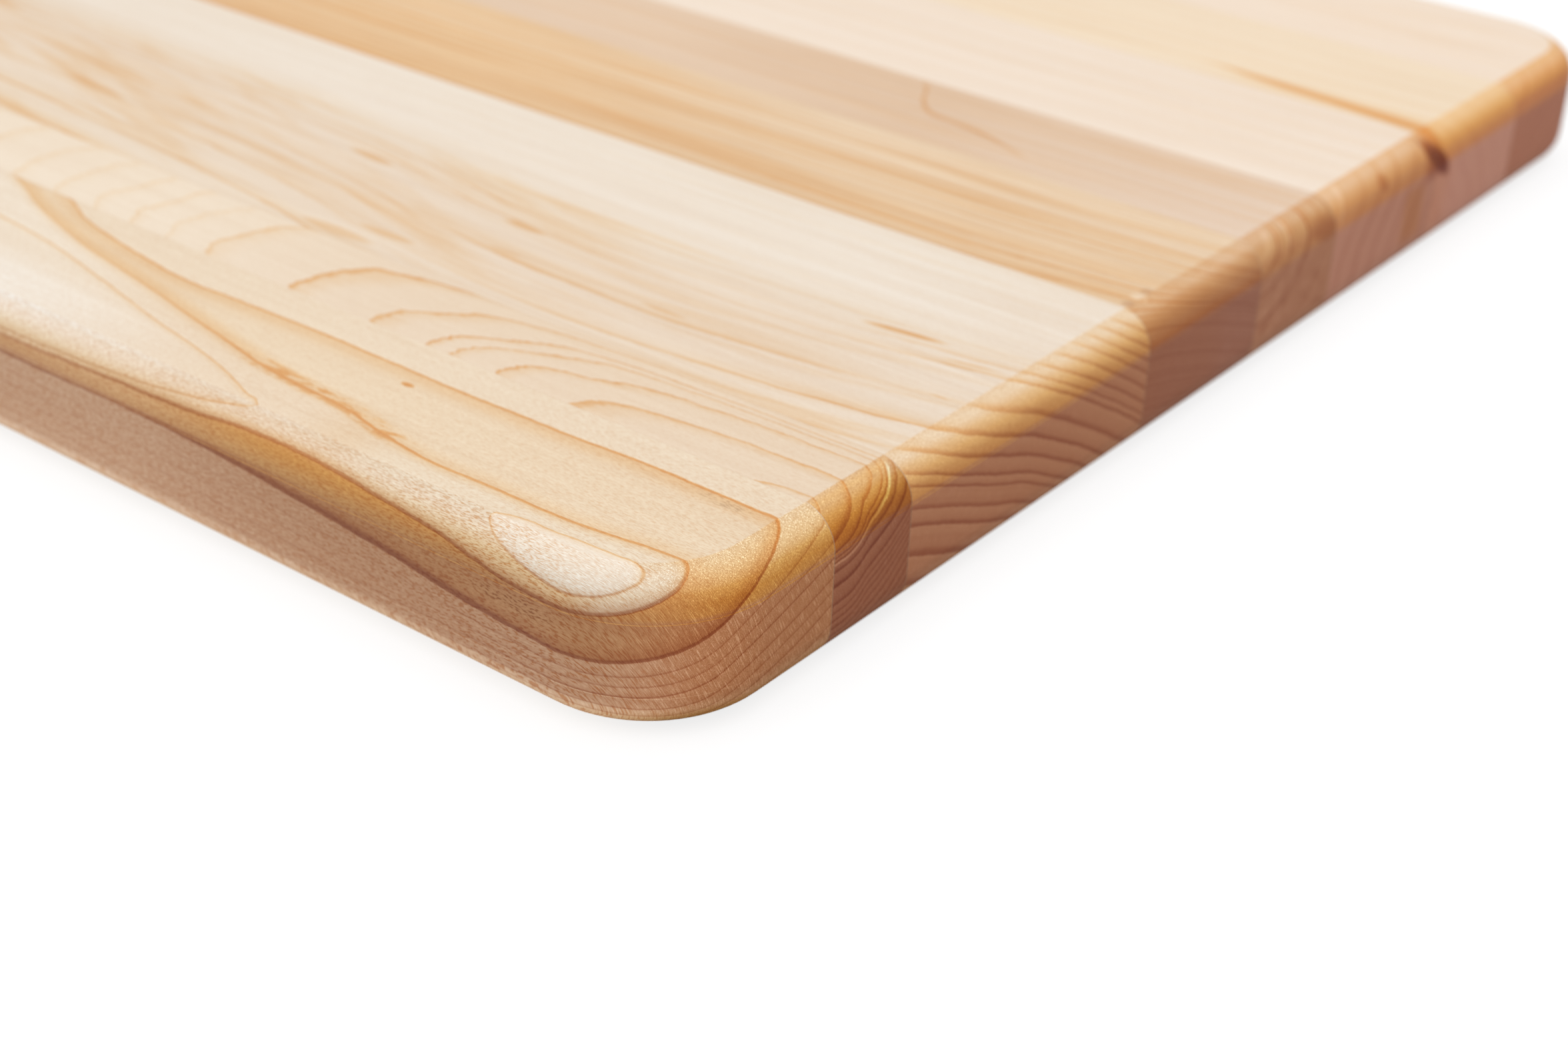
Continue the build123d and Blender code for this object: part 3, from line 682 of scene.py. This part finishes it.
def figure_5(g, x, y, z, nx, ny, nz, rays):
    w = wobble(g, x, y, z, 31.0, 0.015, 0.10)
    j = g.noise(g.vec(x * 0.06, y * 0.9, z * 0.9), 1.0, 3.0, 0.65)
    # rings about a pith above the joint with the fourth stave
    py, pz = y - 154.5 + w * 1.2, z - 28.5
    rr = (py * py + pz * pz).sqrt() + j * 0.35
    q = g.curve(rr, [(0, 0), (10, 1), (13.8, 2), (19.2, 3), (24, 4), (27, 5), (31, 6), (36, 7)], 0, 36, 0, 7)
    steep = g.smooth(nx, 0.1, 0.5)
    amp = g.ramp(q, [(0.5, 0.1), (1.0, 0.5), (1.5, 0.6), (2.5, 0.62), (2.8, 0.85), (3.4, 0.8), (3.7, 0.4), (7, 0.4)], 0, 7) * (0.30 + 0.95 * steep)
    e = ring_profile(g, q, True, 0.10, 0.7) * amp
    bend = g.curve(x, [(-100, 190), (-88, 181), (-85.5, 178), (-83, 173.5), (-80, 169.8), (-77, 167.8), (-72, 167.0), (-66, 166.0), (-58, 163.5), (-48, 159), (-40, 155)], -100, -40, 150, 200)
    hook = (1.0 - g.smooth((y - bend + j * 0.6).abs(), 0.25, 1.15)) * g.smooth(x, -90.0, -84.0) * (1.0 - g.smooth(x, -62.0, -50.0)) * g.smooth(z, 15.0, 22.0)
    e = e.max(hook * 0.50)
    s = g.noise(g.vec(x * 0.008, y * 0.20, 9.0), 1.0, 3.0, 0.62)
    e = e + g.smooth(s, -0.05, 0.6) * 0.16 * (1.0 - steep)
    wedge = (1.0 - g.smooth(((y - 177.5 + (z - 20.6) * 1.2) / 6.4) ** 2.0 + ((z - 19.6 - (y - 177.5) * 0.12) / 2.9) ** 2.0 + j * 0.25, 0.1, 1.25)) * steep
    wallness = steep * g.smooth(nz, 0.35, 0.05)
    blot = g.noise(g.vec(x * 0.02, y * 0.22, z * 0.30 + 3.0), 1.0, 3.0, 0.6)
    e = (e * (1.0 - wallness * 0.55) + g.smooth(blot, 0.0, 0.45) * wallness * 0.30).max(wedge * 0.55)
    # painted highlight: pale streaks along three rings on the upper end round, only where it faces up to the light
    light = steep * g.smooth(nz, 0.25, 0.7) * ((1.0 - g.smooth((q - 0.72).abs(), 0.04, 0.16)) * 0.9 + (1.0 - g.smooth((q - 1.14).abs(), 0.03, 0.12)) * 0.8 + (1.0 - g.smooth((q - 2.0).abs(), 0.05, 0.3)))
    tone = g.ramp((x + w * 6.0), [(-180, (1.02, 1.01, 0.985)), (-140, (1.005, 0.98, 0.94)), (-80, (0.965, 0.92, 0.865)), (-45, (1.0, 0.99, 0.98)), (0, (1.03, 1.05, 1.09))], -200, 0)
    tone = g.mulc(tone, g.mixc(light.clamp(), (1.0, 1.0, 1.0), (1.12, 1.22, 1.36)))
    tone = g.mulc(tone, g.mixc(g.smooth(blot, -0.05, -0.45) * wallness, (1.0, 1.0, 1.0), (1.10, 1.16, 1.22)))
    return e, tone, None, None


def streak_f(g, x, y, z):
    """The dark mineral streak along the joint between the sixth and seventh staves, deepest on the rounded end, where a
    bark pocket at the joint is drawn: partly its own dark colour, partly painted shade of its groove, which is not
    modelled.
    """
    j = g.noise(g.vec(x * 0.10, y * 0.7, z * 0.7), 1.0, 3.0, 0.65)
    mid = g.curve(x, [(-75, 232.5), (-55, 231), (-40, 229), (-20, 227), (-5, 225.2), (0, 223.6)], -75, 0, 220, 236)
    width = g.curve(x, [(-75, 0.15), (-60, 0.5), (-45, 1.2), (-25, 2.0), (-5, 3.0), (0, 3.6)], -75, 0, 0, 4)
    mid = mid - (TK - z) * 0.18
    dist = ((y - mid) + j * 0.5).abs() / width
    fade = g.smooth(z, 14.8, 18.0)
    light = (1.0 - g.smooth(dist, 0.25, 1.35)) * g.smooth(x, -62.0, -36.0) * fade
    pocket_colour_and_shade = (1.0 - g.smooth(((y - 223.6 - (20.4 - z) * 0.95) / 3.4) ** 2.0 + ((z - 19.2) / 4.6) ** 2.0 + j * 0.3, 0.1, 1.15)) * g.smooth(x, -6.5, -4.0)
    return light, pocket_colour_and_shade


def figure_6(g, x, y, z, nx, ny, nz, rays):
    w = wobble(g, x, y, z, 41.0, 0.015, 0.08)
    j = g.noise(g.vec(x * 0.06, y * 0.8, z * 0.8), 1.0, 3.0, 0.65)
    d = TK - z
    v = y + d * 1.1 - d * d * 0.025 + w * 2.0 + j * 0.3
    q = v / 7.3
    steep = g.smooth(nx, 0.1, 0.5)
    e = ring_profile(g, q, False, 0.12, 0.6) * (0.06 + 0.16 * g.white(q.floor() + 0.5)) * (0.5 + 1.2 * steep)
    knot = (1.0 - g.smooth(((y - 202.0) / 2.1) ** 2.0 + ((z - 21.0) / 1.9) ** 2.0, 0.1, 1.1)) * g.smooth(x, -7.0, -5.0)
    # the streak, and the bark pocket on the rounded end: partly its own dark colour, partly painted shade of its groove
    light, pocket_colour_and_shade = streak_f(g, x, y, z)
    e = (e.max(knot * 0.55).max(light * 0.80) + pocket_colour_and_shade * 1.0).clamp()
    band = g.smooth(y, 210.0, 213.0) * (1.0 - g.smooth(y, 217.5, 221.0)) * g.smooth(nx, 0.6, 0.95) * g.smooth(z, 4.0, 8.0) * (1.0 - g.smooth(z, 15.0, 18.0))
    # painted highlight: a pale diagonal stripe on the end round beside the joint with the fifth stave
    highlight_stripe = (1.0 - g.smooth((y - 183.0 - (z - 17.6) * 0.80).abs(), 0.2, 1.5)) * g.smooth(nx, 0.15, 0.4) * g.smooth(z, 16.8, 18.5)
    tone = g.mulc(g.mixc(band, (1.0, 1.0, 1.0), (0.93, 0.84, 0.62)), g.mixc(highlight_stripe, (1.0, 1.0, 1.0), (1.10, 1.22, 1.40)))
    tone = g.mulc(tone, g.mixc(pocket_colour_and_shade, (1.0, 1.0, 1.0), (0.55, 0.42, 0.45)))
    return e, tone, None, None


def figure_7(g, x, y, z, nx, ny, nz, rays):
    w = wobble(g, x, y, z, 51.0, 0.015, 0.08)
    j = g.noise(g.vec(x * 0.06, y * 0.8, z * 0.8), 1.0, 3.0, 0.65)
    v = y - (TK - z) * 0.7 + w * 2.5 + j * 0.3
    q = v / 7.0
    e = ring_profile(g, q, False, 0.10, 0.5) * (0.04 + 0.12 * g.white(q.floor() + 0.5))
    # the streak, and the bark pocket on the rounded end: partly its own dark colour, partly painted shade of its groove
    light, pocket_colour_and_shade = streak_f(g, x, y, z)
    e = (e.max(light * 0.80) + pocket_colour_and_shade).clamp()
    near = (1.0 - g.smooth(y, 226.0, 234.0)) * g.smooth(x, -60.0, -30.0)
    tone = g.mixc(near * 0.7, (1.0, 1.0, 1.0), (0.975, 0.90, 0.78))
    tone = g.mulc(tone, g.mixc(pocket_colour_and_shade, (1.0, 1.0, 1.0), (0.55, 0.42, 0.45)))
    return e, tone, None, None


def figure_8(g, x, y, z, nx, ny, nz, rays):
    w = wobble(g, x, y, z, 61.0, 0.015, 0.08)
    j = g.noise(g.vec(x * 0.06, y * 0.8, z * 0.8), 1.0, 3.0, 0.65)
    v = y + (TK - z) * 1.5 + w * 3.0 + j * 0.3
    q = v / 6.0
    steep = g.smooth(nx.abs() + ny.abs(), 0.1, 0.5)
    e = ring_profile(g, q, False, 0.12, 0.6) * (0.05 + 0.16 * g.white(q.floor() + 0.5)) * (0.6 + 0.8 * steep)
    s = g.noise(g.vec(x * 0.010, v * 0.12, 14.0), 1.0, 3.0, 0.6)
    return e + g.smooth(s, 0.0, 0.6) * 0.12, None, None, None


WOOD = {
    "stave_1": dict(line_wall=(0.59, 0.37, 0.27), streak=0.090, face=(0.688, 0.566, 0.424), field=figure_1, grain_angle=24, fleck=1.0, sparkle=1.0, seed=1.0,
                    end=[(0.678, 0.491, 0.289), (0.731, 0.519, 0.286), (0.748, 0.491, 0.236), (0.698, 0.372, 0.106), (0.618, 0.266, 0.052), (0.660, 0.286, 0.068), (0.578, 0.247, 0.107)]),
    "stave_2": dict(streak=0.080, face=(0.668, 0.535, 0.400), field=figure_2, grain_angle=20, fleck=0.45, sparkle=0.9, seed=12.0,
                    end=[(0.618, 0.392, 0.200), (0.576, 0.347, 0.174), (0.570, 0.294, 0.090), (0.520, 0.214, 0.038), (0.449, 0.148, 0.024), (0.467, 0.152, 0.029), (0.444, 0.167, 0.085)]),
    "stave_3": dict(streak=0.115, face=(0.694, 0.606, 0.509), field=figure_3, grain_angle=-26, fleck=0.32, sparkle=0.6, seed=23.0,
                    end=[(0.685, 0.524, 0.355), (0.733, 0.565, 0.387), (0.754, 0.497, 0.252), (0.762, 0.433, 0.162), (0.706, 0.353, 0.121), (0.734, 0.338, 0.108), (0.597, 0.264, 0.137)]),
    "stave_4": dict(streak=0.200, face=(0.647, 0.475, 0.311), field=figure_4, grain_angle=-18, fleck=0.25, sparkle=0.3, seed=34.0,
                    end=[(0.599, 0.387, 0.222), (0.645, 0.421, 0.249), (0.601, 0.323, 0.142), (0.549, 0.258, 0.099), (0.523, 0.226, 0.090), (0.521, 0.186, 0.063), (0.477, 0.198, 0.116)]),
    "stave_5": dict(streak=0.130, face=(0.634, 0.483, 0.361), field=figure_5, grain_angle=40, fleck=0.25, sparkle=0.3, seed=45.0,
                    end=[(0.579, 0.350, 0.192), (0.604, 0.369, 0.200), (0.579, 0.308, 0.132), (0.567, 0.283, 0.114), (0.557, 0.248, 0.101), (0.609, 0.273, 0.109), (0.558, 0.247, 0.133)]),
    "stave_6": dict(streak=0.100, face=(0.730, 0.612, 0.502), field=figure_6, grain_angle=60, fleck=0.2, sparkle=0.2, seed=56.0,
                    end=[(0.676, 0.426, 0.238), (0.701, 0.453, 0.265), (0.701, 0.387, 0.175), (0.673, 0.318, 0.115), (0.626, 0.274, 0.109), (0.692, 0.283, 0.107), (0.671, 0.312, 0.208)]),
    "stave_7": dict(streak=0.100, face=(0.738, 0.601, 0.444), field=figure_7, grain_angle=-30, fleck=0.2, sparkle=0.2, seed=67.0,
                    end=[(0.733, 0.492, 0.262), (0.754, 0.491, 0.250), (0.767, 0.436, 0.168), (0.743, 0.350, 0.099), (0.698, 0.302, 0.110), (0.748, 0.299, 0.115), (0.746, 0.361, 0.257)]),
    "stave_8": dict(streak=0.100, face=(0.746, 0.619, 0.502), field=figure_8, grain_angle=25, fleck=0.2, sparkle=0.2, seed=78.0,
                    end=[(0.701, 0.415, 0.191), (0.731, 0.435, 0.218), (0.738, 0.369, 0.135), (0.688, 0.306, 0.090), (0.615, 0.238, 0.100), (0.742, 0.303, 0.122), (0.593, 0.245, 0.152)]),
}

for name, spec in WOOD.items():
    pieces[name].data.materials.append(maple("maple_" + name[-1], **spec))


def glue_material():
    """Cured wood glue: a thin amber-brown line, darker on the rounded edges and the walls than on the faces."""
    g = Graph("wood_glue")
    x, y, z, nx, ny, nz = g.coords()
    n1 = g.noise(g.vec(x * 0.08, y, z * 0.3), 1.0, 3.0, 0.6)
    n2 = g.noise(g.vec(x * 1.3, y * 1.3, z * 1.3), 1.0, 2.0, 0.6)
    col = g.mixc((n1 * 0.5 + 0.5 + n2 * 0.15).clamp(), (0.63, 0.50, 0.365), (0.69, 0.56, 0.42))
    col = g.mulc(col, g.mixc(g.smooth(nz.abs(), 0.999, 0.5), (1, 1, 1), (0.62, 0.50, 0.42)))
    bsdf = g.node("ShaderNodeBsdfPrincipled")
    g.put(bsdf.inputs["Base Color"], col)
    g.put(bsdf.inputs["Roughness"], 0.5 + n2 * 0.08)
    bump = g.node("ShaderNodeBump")
    bump.inputs["Strength"].default_value = 0.2
    bump.inputs["Distance"].default_value = 0.0002
    g.put(bump.inputs["Height"], n2)
    g.nt.links.new(bump.outputs[0], bsdf.inputs["Normal"])
    out = g.node("ShaderNodeOutputMaterial")
    g.nt.links.new(bsdf.outputs[0], out.inputs[0])
    return g.mat


glue = glue_material()
for name in GLUES:
    pieces[name].data.materials.append(glue)


# ---------------------------------------------------------------- floor, light, camera
bpy.ops.mesh.primitive_plane_add(size=8, location=(0, 0, -0.0001))
floor = bpy.context.object
floor.name = "floor"
fm = bpy.data.materials.new("floor")
fm.use_nodes = True
nt = fm.node_tree
nt.nodes.clear()


def floor_node(kind, **inputs):
    n = nt.nodes.new(kind)
    for k, v in inputs.items():
        n.inputs[k].default_value = v
    return n


# the camera sees a plain pale sweep; other rays see a dimmer floor, and a strip of it along the -Y side glows, a
# painted fill light on that side of the board
out = floor_node("ShaderNodeOutputMaterial")
lp = floor_node("ShaderNodeLightPath")
mix = floor_node("ShaderNodeMixShader")
dim = floor_node("ShaderNodeBsdfDiffuse", Color=(0.34, 0.33, 0.32, 1))
pale = floor_node("ShaderNodeBsdfDiffuse", Color=(0.20, 0.20, 0.20, 1))
glow = floor_node("ShaderNodeEmission", Strength=0.81)
add = floor_node("ShaderNodeAddShader")
add2 = floor_node("ShaderNodeAddShader")
geo = floor_node("ShaderNodeNewGeometry")
sep = floor_node("ShaderNodeSeparateXYZ")
south = floor_node("ShaderNodeMapRange")
south.interpolation_type = "SMOOTHSTEP"
south.inputs["From Min"].default_value = low0.y + 0.010
south.inputs["From Max"].default_value = low0.y - 0.002
fill_glow = floor_node("ShaderNodeEmission", Color=(1.0, 0.985, 0.97, 1))
gain = nt.nodes.new("ShaderNodeMath")
gain.operation = "MULTIPLY"
gain.inputs[1].default_value = 0.36
strip = floor_node("ShaderNodeMapRange")
strip.interpolation_type = "SMOOTHSTEP"
strip.inputs["From Min"].default_value = low0.y - 0.024
strip.inputs["From Max"].default_value = low0.y - 0.006
strip.inputs["To Max"].default_value = 1.1
both = nt.nodes.new("ShaderNodeMath")
both.operation = "MULTIPLY_ADD"
nt.links.new(geo.outputs["Position"], sep.inputs[0])
nt.links.new(sep.outputs[1], south.inputs["Value"])
nt.links.new(sep.outputs[1], strip.inputs["Value"])
nt.links.new(strip.outputs[0], both.inputs[0])
nt.links.new(south.outputs[0], both.inputs[1])
nt.links.new(south.outputs[0], both.inputs[2])
nt.links.new(both.outputs[0], gain.inputs[0])
nt.links.new(gain.outputs[0], fill_glow.inputs["Strength"])
nt.links.new(dim.outputs[0], add2.inputs[0])
nt.links.new(fill_glow.outputs[0], add2.inputs[1])
nt.links.new(pale.outputs[0], add.inputs[0])
nt.links.new(glow.outputs[0], add.inputs[1])
nt.links.new(lp.outputs["Is Camera Ray"], mix.inputs[0])
nt.links.new(add2.outputs[0], mix.inputs[1])
nt.links.new(add.outputs[0], mix.inputs[2])
# for a look at the underside the floor is clear, as if the board lay on glass
clear = floor_node("ShaderNodeBsdfTransparent")
glass = floor_node("ShaderNodeMixShader")
nt.links.new(mix.outputs[0], glass.inputs[1])
nt.links.new(clear.outputs[0], glass.inputs[2])
nt.links.new(glass.outputs[0], out.inputs[0])
floor.data.materials.append(fm)

w = bpy.data.worlds.new("world")
w.use_nodes = True
w.node_tree.nodes["Background"].inputs[0].default_value = (1, 1, 1, 1)
w.node_tree.nodes["Background"].inputs[1].default_value = 0.50
bpy.context.scene.world = w
ld = bpy.data.lights.new("softbox", "AREA")
ld.shape = "RECTANGLE"
ld.size = 1.8
ld.size_y = 1.8
ld.energy = 17.6
lo = bpy.data.objects.new("softbox", ld)
bpy.context.scene.collection.objects.link(lo)
lo.location = (0.05, -0.1, 1.1)
lo.rotation_euler = (Vector((0.0, -0.0, 0)) - lo.location).to_track_quat("-Z", "Y").to_euler()

cam = bpy.data.cameras.new("camera")
cam.sensor_width = 36
cam.lens = 56.571
cam.clip_start = 0.01
co = bpy.data.objects.new("camera", cam)
bpy.context.scene.collection.objects.link(co)
near = Vector((high0.x, low0.y, 0.0))
rot = Matrix(((0.7893057, -0.3320354, 0.5164775), (0.6128372, 0.3742755, -0.6959514), (0.0377756, 0.8658351, 0.4989015)))
co.matrix_world = Matrix.Translation(near + Vector((0.1641334, -0.1980323, 0.1862528))) @ rot.to_4x4()
bpy.context.scene.camera = co



def by_height(driver, expression):
    """Drives a value by the camera's height z over the floor."""
    var = driver.variables.new()
    var.name = "z"
    var.type = "TRANSFORMS"
    var.targets[0].id = co
    var.targets[0].transform_type = "LOC_Z"
    var.targets[0].transform_space = "WORLD_SPACE"
    driver.expression = expression


by_height(glass.inputs[0].driver_add("default_value").driver, "1 if z < 0 else 0")
lu = bpy.data.lights.new("softbox_below", "AREA")
lu.shape = "RECTANGLE"
lu.size = 1.8
lu.size_y = 1.8
by_height(lu.driver_add("energy").driver, "15 if z < 0 else 0")
lb = bpy.data.objects.new("softbox_below", lu)
bpy.context.scene.collection.objects.link(lb)
lb.location = (0.0, 0.0, -1.2)
lb.rotation_euler = (math.pi, 0.0, 0.0)

# shallow focus on the near corner from close up; practically everything is sharp from further away
spot = bpy.data.objects.new("focus", None)
spot.location = (high0.x - 0.004, low0.y + 0.008, high0.z - 0.003)
bpy.context.scene.collection.objects.link(spot)
cam.dof.use_dof = True
cam.dof.focus_object = spot
drv = cam.dof.driver_add("aperture_fstop").driver
var = drv.variables.new()
var.name = "d"
var.type = "LOC_DIFF"
var.targets[0].id = co
var.targets[1].id = spot
drv.expression = "16 if d < 0.36 else 200"

bpy.context.scene.view_settings.view_transform = "Standard"
